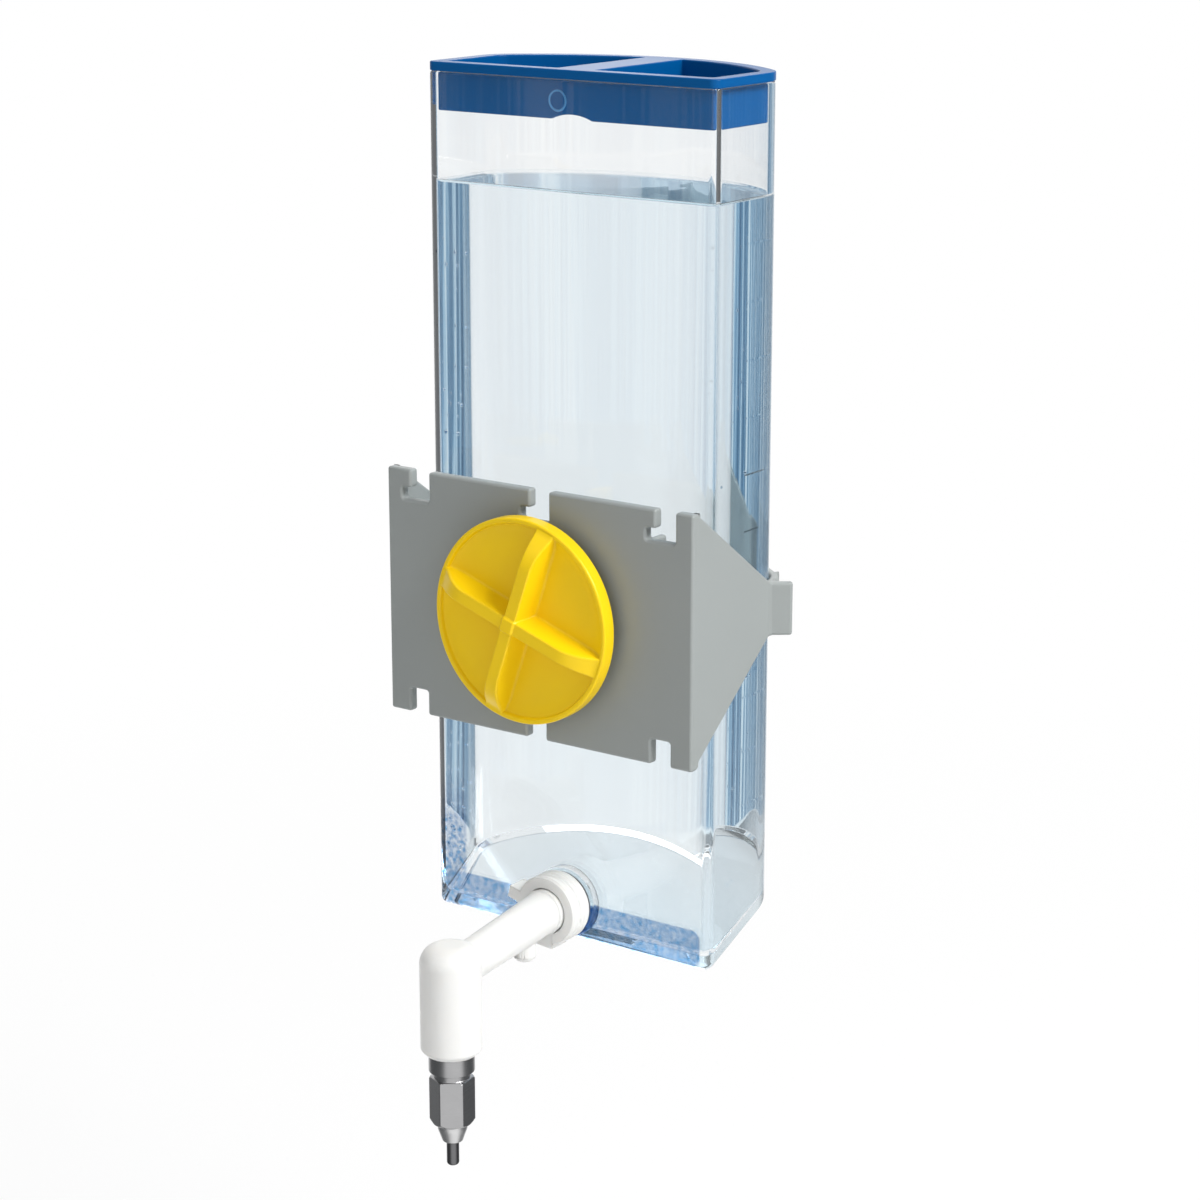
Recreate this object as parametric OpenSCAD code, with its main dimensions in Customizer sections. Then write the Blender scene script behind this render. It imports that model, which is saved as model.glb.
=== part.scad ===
// Clip-on drinking bottle for rabbits and other small pets: a clear flat-fronted bottle
// filled from the top, a snap-in wire-cage holder with a screw knob, and a white spout
// with a stainless spring-closed nipple. The frame's origin is the middle of the holder
// plate's front face, where it meets the cage wires; +Z is up and -Y points into the cage.

/* [Bottle] */
// Width of the bottle across its front
bottle_w = 89; // [72:0.5:110]
// Depth of the bottle from its front to the middle of its curved back
bottle_depth = 46; // [43:0.5:60]
// Height of the bottle with its lid on, measured at the front
bottle_h = 228; // [185:1:280]
// Wall of the bottle
bottle_wall = 2; // [1.5:0.1:3]
// Radius of the two front corners
front_corner_r = 2.5; // [2.2:0.1:5]
// Radius of the two back corners
back_corner_r = 10; // [8:0.5:12]
// Radius of the curved back
back_r = 62; // [58:1:90]
// Slope of the bottle's floor, which drains towards the spout, in degrees
floor_slope = 25; // [5:1:28]

/* [Lid] */
// Height of the lid's rim above the bottle's mouth
lid_rim_h = 2.4; // [2:0.1:5]
// Depth of the plug skirt below the rim
lid_skirt_h = 10; // [8:0.1:16]
// Wall of the lid
lid_wall = 1.6; // [1.2:0.1:2.5]
// Gap between the skirt and the inside of the bottle
lid_gap = 0.4; // [0.2:0.05:0.8]
// Width of the finger bar across the lid
lid_bar_w = 11.5; // [6:0.1:16]
// Depth of the two finger pockets
lid_pocket_h = 9; // [6:0.1:9.5]

/* [Holder] */
// Height of the holder plate
plate_h = 65.5; // [50:0.5:80]
// Thickness of the holder plate
plate_t = 3; // [2:0.1:4]
// How far the plate reaches past each side of the bottle
plate_over = 3.5; // [2.5:0.05:8]
// Distance from the plate's front face to the bottle's front
stand_off = 14; // [12:0.5:20]
// Height of the plate's centre above the bottle's lowest edge
plate_level = 92; // [70:1:130]
// Thickness of the two wings
wing_t = 2.2; // [1.8:0.1:3]
// Height of each wing at its back end, and of its hook and tab
wing_end_h = 14; // [10:0.5:22]
// Gap between the wings and the bottle
clip_gap = 0.3; // [0.2:0.05:0.6]
// Length of the finger tab at the end of each wing
tab_len = 6.5; // [5:0.5:12]
// Angle by which the finger tab flares out, in degrees
tab_flare = 52; // [30:1:70]

/* [Knob] */
// Diameter of the knob
knob_d = 53.5; // [44:0.5:62]
// Thickness of the knob's rim
knob_rim_h = 4.2; // [3:0.1:6]
// Height of the two grip ribs above the rim
rib_rise = 5; // [3:0.1:9]
// Angle by which the grip ribs are turned at rest, in degrees
rib_turn = -19; // [-45:1:45]
// Outer diameter of the clamping screw's thread
screw_d = 12; // [9:0.1:14]
// Gap between the plate and the pressure ring at rest, for the cage wires
wire_gap = 2.6; // [1.6:0.1:3.5]

/* [Spout] */
// Height of the outlet's axis above the bottle's lowest edge
outlet_level = 11.2; // [10.4:0.1:24]
// Outer diameter of the bottle's outlet neck
neck_d = 14.2; // [13:0.1:15.4]
// Diameter of the waterway through neck and tube
water_d = 6.6; // [5:0.1:7]
// Outer diameter of the spout's tube at the union nut
tube_d = 11.4; // [10:0.1:11.6]
// Outer diameter of the spout's tube at the upright body
tube_end_d = 10.1; // [9:0.1:12]
// Distance from the bottle's front to the axis of the spout's upright body
spout_reach = 50.4; // [44:0.5:66]
// Slope of the tube down towards the upright body, in degrees
spout_droop = 6.5; // [0:0.5:8]
// Diameter of the spout's upright body
spout_body_d = 15.7; // [14.8:0.1:19]
// Height of the spout's upright body
spout_body_h = 29.3; // [27:0.1:38]
// How far the upright body reaches below the bottle's lowest edge
spout_drop = 14.6; // [12:0.1:20]

/* [Nipple] */
// Diameter of the nipple's collar
collar_d = 11.8; // [11.4:0.1:13]
// Height of the collar below the spout's body
collar_h = 4.6; // [4:0.1:8]
// Distance across the flats of the hexagonal body
hex_af = 10.2; // [10:0.1:13]
// Height of the hexagonal body
hex_h = 12.5; // [12:0.1:16]
// Height of the tapered tip bush below the hexagonal body
bush_h = 5.1; // [3:0.1:6]
// Diameter of the trigger pin
pin_d = 3.2; // [2.6:0.1:3.4]
// How far the trigger pin stands out of the tip bush
pin_out = 6.8; // [4:0.1:9]

/* [Hidden] */

$fn = 64;
cut = 1;              // how far a cutting tool reaches past the face that it opens
fit = 0.05;           // radial clearance of a running or screwed fit
seat = 0.02;          // clearance between two faces that press on each other
arc_steps = 10;       // flats along a corner
back_steps = 24;      // flats along the curved back

// ---- bottle: its plan is a flat front, straight sides, round corners and a curved back ----
floor_level = -plate_level;
mouth_level = floor_level + bottle_h - lid_rim_h;
back_centre_y = bottle_depth - back_r;
corner_x = bottle_w / 2 - back_corner_r;
corner_y = back_centre_y + sqrt(pow(back_r - back_corner_r, 2) - pow(corner_x, 2));
corner_turn = atan2(corner_y - back_centre_y, corner_x);
inner_rise = 2;       // thickness of the bottle's floor
vent_r = 16;          // the shallow vent arch in the front of the lid's skirt
vent_h = 1.3;

// ---- holder ----
plate_w = bottle_w + 2 * plate_over;
wing_end_x = bottle_w / 2 + clip_gap;
wing_end_y = stand_off + corner_y;
wing_top_flat = 2;    // length of the wing's level top edge
wing_foot_flat = 1;   // length of the wing's level bottom edge
wing_end_lift = 1.2;   // the wing's back end lies this far above the plate's middle
hook_turn = 7;        // how far the hook's lip runs on round the bottle's back, in degrees
notch_margin = 9.5;   // from the plate's side edge to the middle of the outer notch
notch_w = 5.8;
notch_depth = 8;
notch_catch_w = 3;    // width of the sideways catch at the floor of a top notch
notch_catch_h = 3.2;
foot_notch_depth = 6.6;
notch_shift = 1.2;    // sideways offset of the top row of notches
notch_pitch = plate_w / 2 - notch_margin;
rest_x = 30;          // distance of each rest rib from the middle
rest_t = 2;
rest_h = 46;
boss_d = screw_d + 6;
boss_len = 6.5;       // length of the threaded boss behind the plate

// ---- knob, screw and pressure ring ----
ring_t = 1.2;
ring_d = 26;
ring_recess = ring_t - 0.3;   // the ring sits this deep in the back of the knob
knob_back_y = -(wire_gap + ring_t - ring_recess);
knob_lip = 1.4;               // width of the raised rim
knob_dish = 1.6;              // depth of the face inside the rim
rib_base_t = 6;
rib_top_t = 3.4;
rib_slope_len = 10;           // length over which a rib's end slopes down to the rim
screw_end_y = plate_t + boss_len - 2;

// ---- outlet, from the bottle's front outwards ----
outlet_z = floor_level + outlet_level;
boss_ring_d = neck_d + 5;
boss_ring_h = 2;
neck_len = 6;
gasket_t = 1.2;
flange_t = 1.7;
flange_d = neck_d - 0.4;
nut_gap = 1.2;                // from the boss ring to the nut, filled by the ring seal
nut_wall = 1.8;
nut_lip_t = 1.6;
shoulder_d = flange_d - 2;
shoulder_out = 1.5;           // how far the straight shoulder shows beyond the nut
gasket_at = neck_len;
flange_at = gasket_at + gasket_t;
lip_at = flange_at + flange_t + 0.1;
nut_from = boss_ring_h + nut_gap;
nut_to = lip_at + nut_lip_t;
nut_d = neck_d + 2 * fit + 2 * nut_wall;
grip_d = nut_d + 0.9;
grip_pitch = 1.8;
nut_lugs = [[165, 3.4, 3.2], [265, 1.1, 6]];   // angle, reach and thickness of each lug
seal_cord_d = nut_gap - 0.2;

// ---- spout ----
spout_y = stand_off - spout_reach;
spout_foot = floor_level - spout_drop;
spout_top = spout_foot + spout_body_h;
droop_from = nut_to + shoulder_out;
tube_sink = 0.8;               // the sloping tube starts this far inside the shoulder
tube_bore_d = water_d - 0.2;
elbow_z = outlet_z - (spout_reach - droop_from) * tan(spout_droop);
spout_round = 5;
spout_chamfer = 1.4;
stop_lug_at = 19.5;            // distance of the stop lug from the bottle's front
stop_lug_d = 6;
stop_lug_h = 4.2;
stop_lug_round = 1;            // the chamfer round the lug's end
stop_lug_sink = 1.6;           // how far the lug reaches into the tube's wall
stop_lug_foot = -tube_d / 2 - stop_lug_h - (stop_lug_at - droop_from) * tan(spout_droop);

// ---- nipple, from the spout's foot downwards ----
shank_d = 8.6;
shank_len = 9;
socket_d = shank_d + 2 * fit;
washer_t = 1;
valve_bore_d = 5.6;
cap_t = 1.5;
cap_hole_d = 2.8;
collar_foot = spout_foot - collar_h;
groove_h = 1.8;
groove_d = hex_af - 0.8;
hex_top = collar_foot - groove_h;
hex_foot = hex_top - hex_h;
hex_turn = -24;               // turns one flat towards the front right
hex_chamfer = 0.9;
thread_d = 7.8;
thread_len = 4.5;
seat_t = 1.5;
seat_hole_d = 3.2;
seat_top = collar_foot - thread_len - seat;
seat_foot = seat_top - seat_t;
chamber_d = 6.2;
bush_spigot_d = 5.8;
bush_spigot_len = 2.5;
bush_top_d = 7.6;
bush_foot_d = pin_d + 2;
bush_bore_d = pin_d + 1;
bush_foot = hex_foot - bush_h;
pin_head_d = 5.2;
pin_head_t = 1.1;
head_gap = 0.4;               // room under the pin's head for it to tilt
head_foot = hex_foot + bush_spigot_len + head_gap;
head_top = head_foot + pin_head_t;
pin_tip = bush_foot - pin_out;
stem_d = 1.8;
stem_gap = 0.2;
plunger_d = 4.8;
plunger_t = 2;
pilot_d = 2.6;
pilot_h = 2.3;
spring_d = 4.8;
spring_wire = 0.5;
spring_turns = 8;
spring_foot = seat_top + 2 * seat + plunger_t;
spring_top = spout_foot + shank_len - cap_t - seat;

PLASTIC_BLUE = "royalblue";
PLASTIC_GREY = "darkgray";
PLASTIC_YELLOW = "gold";
PLASTIC_WHITE = "whitesmoke";
PLASTIC_CLEAR = [0.85, 0.93, 0.98, 0.45];
STEEL = "silver";
RUBBER = "dimgray";

// ---- shared shapes ----

// Points of an arc about [x, y], from one angle to another
function arc(x, y, r, from, to, steps) =
    [for (i = [0:steps]) let (a = from + (to - from) * i / steps) [x + r * cos(a), y + r * sin(a)]];

// Outline of the bottle in plan, moved inwards by an inset, with its front on y = 0
function bottle_plan(inset) =
    let (
        front_r = max(front_corner_r, inset + 0.6),
        front_x = bottle_w / 2 - front_r,
        back_corner = max(back_corner_r - inset, 0.6))
    concat(
        arc(-front_x, front_r, front_r - inset, 180, 270, 6),
        arc(front_x, front_r, front_r - inset, 270, 360, 6),
        arc(corner_x, corner_y, back_corner, 0, corner_turn, arc_steps),
        arc(0, back_centre_y, back_r - inset, corner_turn, 180 - corner_turn, back_steps),
        arc(-corner_x, corner_y, back_corner, 180 - corner_turn, 180, arc_steps));

// A band of a given thickness outside an arc
function band(x, y, r, t, from, to, steps) =
    concat(arc(x, y, r, from, to, steps), arc(x, y, r + t, to, from, steps));

// A block of the bottle's plan between two heights
module bottle_block(inset, from, to) {
    translate([0, stand_off, from])
        linear_extrude(height = to - from)
            polygon(bottle_plan(inset));
}

// Everything below the sloping floor, raised by a given amount
module below_floor(rise) {
    translate([0, stand_off, floor_level + rise])
        rotate([floor_slope, 0, 0])
            translate([-bottle_w, -bottle_depth, -2 * bottle_depth])
                cube([2 * bottle_w, 4 * bottle_depth, 2 * bottle_depth]);
}

// Places children on the outlet's axis, with their z counted outwards from the bottle
module on_outlet() {
    translate([0, stand_off, outlet_z])
        rotate([90, 0, 0])
            children();
}

// Places children on the knob's axis, with their z counted outwards from the plate
module on_knob_axis() {
    rotate([90, 0, 0])
        children();
}

// Places children on the nipple's axis
module on_nipple() {
    translate([0, spout_y, 0])
        children();
}

// A cylinder between two heights
module post(d, from, to) {
    translate([0, 0, from])
        cylinder(d = d, h = to - from);
}

// A ring between two heights
module ring(d, hole, from, to) {
    difference() {
        post(d, from, to);
        post(hole, from - cut, to + cut);
    }
}

// The part and its mirror image on the other side
module both_sides() {
    children();
    mirror([1, 0, 0])
        children();
}

// ---- holder ----

// One edge notch, open upwards, with a catch to its left when catch_w is above 0
module notch(depth, catch_w) {
    translate([-notch_w / 2, -cut, -depth])
        cube([notch_w, plate_t + 2 * cut, depth + cut]);
    if (catch_w > 0)
        translate([-notch_w / 2 - catch_w, -cut, -depth])
            cube([notch_w, plate_t + 2 * cut, notch_catch_h]);
}

// Side outline of a wing with its hook and tab, in y and z
function wing_outline() = [
    [0, -plate_h / 2], [wing_foot_flat, -plate_h / 2], [wing_end_y, wing_end_lift - wing_end_h / 2],
    [wing_end_y + back_r, wing_end_lift - wing_end_h / 2],
    [wing_end_y + back_r, wing_end_lift + wing_end_h / 2],
    [wing_end_y, wing_end_lift + wing_end_h / 2], [wing_top_flat, plate_h / 2], [0, plate_h / 2]];

// Plan of a wing: it leans in from the plate's edge to the bottle's side, its hook follows
// the bottle's back corner and ends in a short lip, and its finger tab flares out
module wing_plan() {
    polygon([
        [plate_w / 2 - wing_t, 0], [plate_w / 2, 0], [plate_w / 2, plate_t],
        [wing_end_x + wing_t, wing_end_y + seat], [wing_end_x, wing_end_y + seat],
        [plate_w / 2 - wing_t, plate_t]]);
    translate([0, stand_off]) {
        polygon(band(corner_x, corner_y, back_corner_r + clip_gap, wing_t,
            0, corner_turn + 1, arc_steps));
        polygon(band(0, back_centre_y, back_r + clip_gap, wing_t,
            corner_turn, corner_turn + hook_turn, 6));
    }
    translate([wing_end_x + wing_t / 2, wing_end_y])
        rotate(-tab_flare)
            translate([-wing_t / 2, 0])
                square([wing_t, tab_len]);
}

module wing() {
    intersection() {
        rotate([90, 0, 90])
            linear_extrude(height = plate_w)
                polygon(wing_outline());
        translate([0, 0, -plate_h])
            linear_extrude(height = 2 * plate_h)
                wing_plan();
    }
}

// A rib behind the plate that the bottle's front rests against
module rest_rib() {
    translate([rest_x - rest_t / 2, plate_t - seat, -rest_h / 2])
        cube([rest_t, stand_off - clip_gap - plate_t + seat, rest_h]);
}

module bracket() {
    color(PLASTIC_GREY)
        difference() {
            union() {
                translate([-plate_w / 2, 0, -plate_h / 2])
                    cube([plate_w, plate_t, plate_h]);
                both_sides() {
                    wing();
                    rest_rib();
                }
                mirror([0, 1, 0])
                    on_knob_axis()
                        post(boss_d, plate_t / 2, plate_t + boss_len);
            }
            for (i = [-1:1]) {
                translate([i * notch_pitch + notch_shift, 0, plate_h / 2])
                    notch(notch_depth, notch_catch_w);
                translate([i * notch_pitch, 0, -plate_h / 2])
                    mirror([0, 0, 1])
                        notch(foot_notch_depth, 0);
            }
            mirror([0, 1, 0])
                on_knob_axis()
                    post(screw_d + 2 * fit, -cut, plate_t + boss_len + cut);
        }
}

// ---- knob ----

// Half section of the knob's dished disc, its z counted outwards from the plate
function knob_section() = [
    [0, -knob_back_y], [knob_d / 2 - 0.6, -knob_back_y], [knob_d / 2, -knob_back_y + 0.6],
    [knob_d / 2, -knob_back_y + knob_rim_h - 0.5], [knob_d / 2 - 0.5, -knob_back_y + knob_rim_h],
    [knob_d / 2 - knob_lip, -knob_back_y + knob_rim_h],
    [knob_d / 2 - knob_lip - 0.6, -knob_back_y + knob_rim_h - knob_dish],
    [0, -knob_back_y + knob_rim_h - knob_dish]];

// One grip rib: a long side outline crossed with a tapered section
module grip_rib() {
    floor_at = -knob_back_y + knob_rim_h - knob_dish - 0.2;
    rim_at = -knob_back_y + knob_rim_h;
    top_at = rim_at + rib_rise;
    half = knob_d / 2 - knob_lip / 2;
    intersection() {
        rotate([90, 0, 0])
            translate([0, 0, -rib_base_t])
                linear_extrude(height = 2 * rib_base_t)
                    polygon([[-half, floor_at], [half, floor_at], [half, rim_at],
                        [half - rib_slope_len, top_at], [rib_slope_len - half, top_at],
                        [-half, rim_at]]);
        rotate([90, 0, 90])
            translate([0, 0, -knob_d])
                linear_extrude(height = 2 * knob_d)
                    polygon([[-rib_base_t / 2, floor_at], [rib_base_t / 2, floor_at],
                        [rib_top_t / 2, top_at], [-rib_top_t / 2, top_at]]);
    }
}

module knob() {
    color(PLASTIC_YELLOW)
        on_knob_axis()
            difference() {
                union() {
                    rotate_extrude()
                        polygon(knob_section());
                    rotate([0, 0, rib_turn])
                        for (a = [0, 90])
                            rotate([0, 0, a])
                                grip_rib();
                    post(screw_d, -screw_end_y, -knob_back_y + cut);
                }
                ring(ring_d + 0.6, screw_d, -knob_back_y - cut, -knob_back_y + ring_recess);
            }
}

module pressure_ring() {
    color(PLASTIC_WHITE)
        on_knob_axis()
            ring(ring_d, screw_d + 0.6, wire_gap, wire_gap + ring_t - seat);
}

// ---- bottle and lid ----

module bottle() {
    color(PLASTIC_CLEAR)
        difference() {
            union() {
                difference() {
                    bottle_block(0, floor_level, mouth_level);
                    below_floor(0);
                    difference() {
                        bottle_block(bottle_wall, floor_level, mouth_level + cut);
                        below_floor(inner_rise);
                    }
                }
                on_outlet() {
                    post(boss_ring_d, -bottle_wall / 2, boss_ring_h);
                    post(neck_d, -bottle_wall / 2, neck_len);
                }
            }
            on_outlet()
                post(water_d, -bottle_wall - cut, neck_len + cut);
        }
}

// The shape that the bar leaves free on one side of the lid
module pocket(side) {
    floor_z = mouth_level + lid_rim_h - lid_pocket_h;
    intersection() {
        bottle_block(bottle_wall + lid_gap + lid_wall, floor_z, mouth_level + lid_rim_h + cut);
        translate([side > 0 ? lid_bar_w / 2 : -bottle_w, 0, floor_z - cut])
            cube([bottle_w - (side > 0 ? 0 : lid_bar_w / 2), stand_off + 2 * bottle_depth,
                lid_pocket_h + 3 * cut]);
    }
}

module lid() {
    skirt_inset = bottle_wall + lid_gap;
    skirt_foot = mouth_level - lid_skirt_h;
    web_foot = mouth_level + lid_rim_h - lid_pocket_h - lid_wall;
    color(PLASTIC_BLUE)
        difference() {
            union() {
                bottle_block(0, mouth_level + seat, mouth_level + lid_rim_h);
                bottle_block(skirt_inset, skirt_foot, mouth_level + cut);
            }
            pocket(-1);
            pocket(1);
            bottle_block(skirt_inset + lid_wall, skirt_foot - cut, web_foot);
            translate([0, stand_off + skirt_inset + lid_wall + cut, skirt_foot - vent_r + vent_h])
                rotate([90, 0, 0])
                    cylinder(r = vent_r, h = lid_wall + 2 * cut);
        }
}

// ---- outlet and spout ----

module boss_ring_seal() {
    color(RUBBER)
        on_outlet()
            translate([0, 0, boss_ring_h + nut_gap / 2])
                rotate_extrude()
                    translate([nut_d / 2 - seal_cord_d / 2 - 0.3, 0])
                        circle(d = seal_cord_d, $fn = 24);
}

module outlet_gasket() {
    color(RUBBER)
        on_outlet()
            ring(flange_d, water_d, gasket_at + seat, flange_at - seat);
}

module union_nut() {
    color(PLASTIC_WHITE)
        on_outlet()
            difference() {
                union() {
                    post(nut_d, nut_from, nut_to);
                    for (z = [nut_from + 0.6 : grip_pitch : nut_to - 1.2])
                        translate([0, 0, z]) {
                            cylinder(d1 = nut_d, d2 = grip_d, h = grip_pitch / 3);
                            translate([0, 0, grip_pitch / 3])
                                cylinder(d1 = grip_d, d2 = nut_d, h = grip_pitch / 3);
                        }
                    for (lug = nut_lugs)
                        rotate([0, 0, lug[0]])
                            translate([0, -lug[2] / 2, nut_from + 1])
                                cube([nut_d / 2 + lug[1], lug[2], nut_to - nut_from - 1]);
                }
                post(neck_d + 2 * fit, nut_from - cut, lip_at);
                post(shoulder_d + 0.6, lip_at - cut, nut_to + cut);
            }
}

// Half section of the upright body: round at the top and chamfered at the foot
function upright_section() = concat(
    [[0, spout_foot], [spout_body_d / 2 - spout_chamfer, spout_foot],
        [spout_body_d / 2, spout_foot + spout_chamfer]],
    arc(spout_body_d / 2 - spout_round, spout_top - spout_round, spout_round, 0, 90, 8),
    [[0, spout_top]]);

// The sloping length of the tube, with its z counted outwards from where it starts
module on_tube() {
    on_outlet()
        translate([0, 0, droop_from])
            rotate([spout_droop, 0, 0])
                children();
}

// The round lug below the tube, with its z counted upwards from its end
module stop_lug() {
    cylinder(d1 = stop_lug_d - 2 * stop_lug_round, d2 = stop_lug_d, h = stop_lug_round);
    post(stop_lug_d, stop_lug_round, stop_lug_h + stop_lug_sink);
}

module spout_elbow() {
    tube_len = (spout_reach - droop_from) / cos(spout_droop);
    color(PLASTIC_WHITE)
        difference() {
            union() {
                on_outlet() {
                    post(flange_d, flange_at, flange_at + flange_t);
                    post(shoulder_d, flange_at, droop_from);
                }
                on_tube()
                    translate([0, 0, -tube_sink])
                        cylinder(d1 = tube_d, d2 = tube_end_d, h = tube_len + tube_sink);
                on_nipple()
                    rotate_extrude()
                        polygon(upright_section());
                on_outlet()
                    translate([0, stop_lug_foot, stop_lug_at])
                        rotate([-90, 0, 0])
                            stop_lug();
            }
            on_outlet()
                post(water_d, flange_at - cut, droop_from - tube_sink);
            on_tube()
                post(tube_bore_d, -2 * tube_sink, tube_len);
            on_nipple() {
                post(socket_d, spout_foot - cut, elbow_z + water_d / 2);
                post(collar_d - 0.2, spout_foot - cut, spout_foot + washer_t);
            }
        }
}

// ---- nipple ----

module collar_washer() {
    color(RUBBER)
        on_nipple()
            ring(collar_d - 0.4, shank_d + 0.2, spout_foot + seat, spout_foot + washer_t - seat);
}

module nipple_collar() {
    color(STEEL)
        on_nipple()
            difference() {
                union() {
                    post(shank_d, spout_foot - seat, spout_foot + shank_len);
                    post(collar_d, collar_foot, spout_foot - seat);
                    post(thread_d, collar_foot - thread_len, collar_foot + seat);
                }
                post(valve_bore_d, collar_foot - thread_len - cut, spout_foot + shank_len - cap_t);
                post(cap_hole_d, collar_foot, spout_foot + shank_len + cut);
            }
}

module nipple_body() {
    hex_r = hex_af / 2 / cos(30);
    foot_r = hex_r - hex_chamfer;
    top_r = hex_r - hex_chamfer / 2;
    color(STEEL)
        on_nipple()
            difference() {
                union() {
                    post(groove_d, hex_top - cut, collar_foot - seat);
                    intersection() {
                        translate([0, 0, hex_foot])
                            rotate([0, 0, hex_turn])
                                cylinder(r = hex_r, h = hex_h, $fn = 6);
                        translate([0, 0, hex_foot])
                            cylinder(r1 = foot_r, r2 = foot_r + hex_h, h = hex_h);
                        translate([0, 0, hex_foot])
                            cylinder(r1 = top_r + hex_h, r2 = top_r, h = hex_h);
                    }
                }
                post(thread_d + 2 * fit, seat_foot, collar_foot + cut);
                post(chamber_d, hex_foot + bush_spigot_len, seat_foot + cut);
                post(bush_spigot_d + 2 * fit, hex_foot - cut, hex_foot + bush_spigot_len + cut);
            }
}

module valve_seat() {
    color(RUBBER)
        on_nipple()
            ring(thread_d - 0.2, seat_hole_d, seat_foot + seat, seat_top);
}

module valve_plunger() {
    color(PLASTIC_WHITE)
        on_nipple() {
            post(plunger_d, seat_top + seat, seat_top + seat + plunger_t);
            post(stem_d, head_top + stem_gap, seat_top + 2 * seat);
            post(pilot_d, seat_top + plunger_t, seat_top + plunger_t + pilot_h);
        }
}

module valve_spring() {
    sides = 6;
    per_turn = 14;
    steps = spring_turns * per_turn;
    mid_r = (spring_d - spring_wire) / 2;
    rise = spring_top - spring_foot - spring_wire - 2 * seat;
    points = [for (i = [0:steps]) for (k = [0:sides - 1])
        let (
            turn = 360 * i / per_turn,
            side = 360 * k / sides,
            r = mid_r + spring_wire / 2 * cos(side),
            z = spring_foot + seat + spring_wire / 2 + rise * i / steps)
        [r * cos(turn), r * sin(turn), z + spring_wire / 2 * sin(side)]];
    walls = [for (i = [0:steps - 1]) for (k = [0:sides - 1])
        let (n = (k + 1) % sides)
        [i * sides + k, (i + 1) * sides + k, (i + 1) * sides + n, i * sides + n]];
    first = [for (k = [0:sides - 1]) k];
    last = [for (k = [0:sides - 1]) steps * sides + sides - 1 - k];
    color(STEEL)
        on_nipple()
            polyhedron(points = points, faces = concat([first], walls, [last]));
}

module tip_bush() {
    color(STEEL)
        on_nipple()
            difference() {
                union() {
                    post(bush_spigot_d, hex_foot - seat, hex_foot + bush_spigot_len);
                    post(bush_top_d, hex_foot - bush_h / 3, hex_foot - seat);
                    translate([0, 0, bush_foot])
                        cylinder(d1 = bush_foot_d, d2 = bush_top_d, h = bush_h * 2 / 3);
                }
                post(bush_bore_d, bush_foot - cut, hex_foot + bush_spigot_len + cut);
            }
}

module trigger_pin() {
    tip_r = pin_d / 2;
    color(STEEL)
        on_nipple()
            rotate_extrude()
                polygon(concat(
                    [[0, head_top], [0, pin_tip]],
                    arc(tip_r - 0.9, pin_tip + 0.9, 0.9, 270, 360, 6),
                    [[tip_r, head_foot], [pin_head_d / 2, head_foot], [pin_head_d / 2, head_top]]));
}

bracket();
knob();
pressure_ring();
bottle();
lid();
boss_ring_seal();
outlet_gasket();
union_nut();
spout_elbow();
collar_washer();
nipple_collar();
nipple_body();
valve_seat();
valve_plunger();
valve_spring();
tip_bush();
trigger_pin();
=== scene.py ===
"""The looks of a clip-on rabbit drinking bottle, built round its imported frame.

Sizes are in metres in the frame of the part: +Z is up, -Y points into the cage and +X is to
the right seen from the cage. Each sub-assembly is a class that builds its pieces, dresses
them in a finish and lets them ride on their body.
"""

import logging
import math
import random
from dataclasses import dataclass, field
from enum import Enum
from functools import cache
from typing import Dict, List, Optional, Sequence, Tuple, Union

import bmesh
import bpy
from mathutils import Matrix, Vector


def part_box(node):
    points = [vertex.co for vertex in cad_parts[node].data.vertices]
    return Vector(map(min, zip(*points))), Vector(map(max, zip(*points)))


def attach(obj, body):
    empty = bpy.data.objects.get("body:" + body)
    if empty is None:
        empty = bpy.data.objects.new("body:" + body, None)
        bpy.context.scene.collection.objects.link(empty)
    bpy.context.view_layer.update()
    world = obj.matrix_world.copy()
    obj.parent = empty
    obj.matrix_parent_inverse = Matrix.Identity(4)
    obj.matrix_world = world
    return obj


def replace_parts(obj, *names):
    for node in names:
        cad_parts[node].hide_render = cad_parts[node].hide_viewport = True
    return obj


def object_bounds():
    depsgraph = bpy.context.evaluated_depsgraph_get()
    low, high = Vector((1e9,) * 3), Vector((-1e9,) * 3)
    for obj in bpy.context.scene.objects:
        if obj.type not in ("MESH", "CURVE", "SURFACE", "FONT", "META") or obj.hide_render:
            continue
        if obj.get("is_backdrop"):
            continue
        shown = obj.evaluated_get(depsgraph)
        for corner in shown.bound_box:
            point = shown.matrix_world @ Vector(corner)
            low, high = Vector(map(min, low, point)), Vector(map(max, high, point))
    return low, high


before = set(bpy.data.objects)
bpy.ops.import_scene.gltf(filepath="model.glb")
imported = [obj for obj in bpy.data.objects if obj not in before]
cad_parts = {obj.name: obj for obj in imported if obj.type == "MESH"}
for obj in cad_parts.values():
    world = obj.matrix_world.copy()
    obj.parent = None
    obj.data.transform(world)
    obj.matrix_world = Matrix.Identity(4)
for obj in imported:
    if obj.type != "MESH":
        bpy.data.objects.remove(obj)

Colour = Tuple[float, float, float]
Point2 = Tuple[float, float]
Point3 = Tuple[float, float, float]
Node = bpy.types.Node
Piece = bpy.types.Object
Socket = bpy.types.NodeSocket
Tree = bpy.types.NodeTree
Feed = Union[float, Colour, Vector, Socket]

WELD = 1e-6
CREASE = 32.0
FLATNESS = math.radians(0.5)
LOG = logging.getLogger("bottle")


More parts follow.
